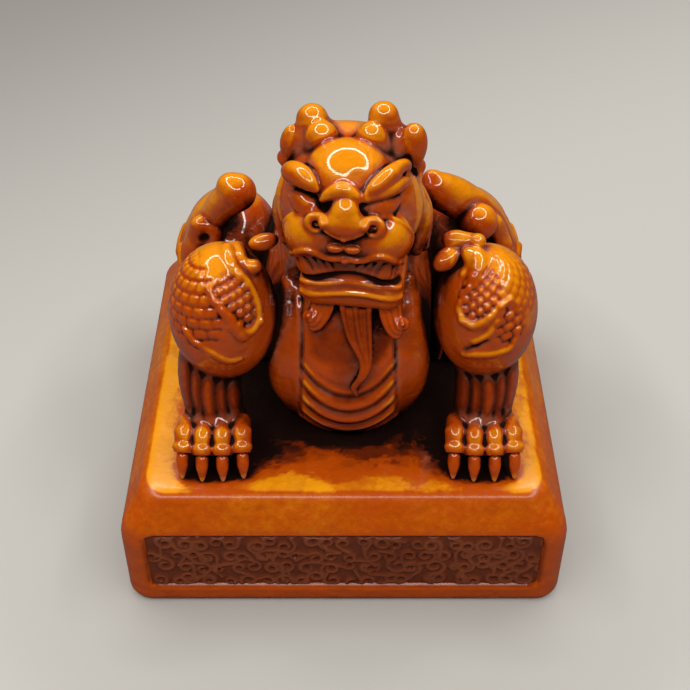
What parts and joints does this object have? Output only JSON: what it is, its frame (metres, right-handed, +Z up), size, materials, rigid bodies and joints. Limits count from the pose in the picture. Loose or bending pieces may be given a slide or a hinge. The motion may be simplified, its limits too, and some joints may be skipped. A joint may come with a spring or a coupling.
{
  "type": "seal stone",
  "caption": "Square seal stone with a bevelled plinth, carved friezes and a crouching horned guardian beast as its knob; flat stamping face below.",
  "frame": {"origin": "middle of the flat stamping face, at the bottom of the plinth", "axes": "+Z up, the beast and the front frieze face -Y, +X to the right as seen from the front"},
  "size_m": [0.072, 0.072, 0.0764],
  "materials": {
    "amber_stone": "polished amber brown stone of the plinth",
    "carved_stone": "polished amber brown stone, darker in the carved recesses",
    "tinted_frieze": "matte red brown tinted relief"
  },
  "bodies": {
    "root": {"plinth": "amber_stone", "frieze_front": "tinted_frieze", "frieze_right": "tinted_frieze", "frieze_back": "tinted_frieze", "frieze_left": "tinted_frieze", "torso": "carved_stone", "belly_plate": "carved_stone", "neck": "carved_stone", "skull": "carved_stone", "forehead": "carved_stone", "muzzle": "carved_stone", "jaw": "carved_stone", "nose": "carved_stone", "upper_lip": "carved_stone", "beard": "carved_stone", "spine_ridge": "carved_stone", "tail": "carved_stone", "eye_left": "carved_stone", "eye_right": "carved_stone", "brow_left": "carved_stone", "brow_right": "carved_stone", "horn_left": "carved_stone", "horn_right": "carved_stone", "ear_left": "carved_stone", "ear_right": "carved_stone", "mane_left": "carved_stone", "mane_right": "carved_stone", "beard_curl_left": "carved_stone", "beard_curl_right": "carved_stone", "shoulder_left": "carved_stone", "shoulder_right": "carved_stone", "shoulder_scroll_left": "carved_stone", "shoulder_scroll_right": "carved_stone", "foreleg_left": "carved_stone", "foreleg_right": "carved_stone", "forepaw_left": "carved_stone", "forepaw_right": "carved_stone", "haunch_left": "carved_stone", "haunch_right": "carved_stone", "haunch_flame_left": "carved_stone", "haunch_flame_right": "carved_stone", "haunch_curl_left": "carved_stone", "haunch_curl_right": "carved_stone", "hind_paw_left": "carved_stone", "hind_paw_right": "carved_stone"}
  },
  "joints": []
}
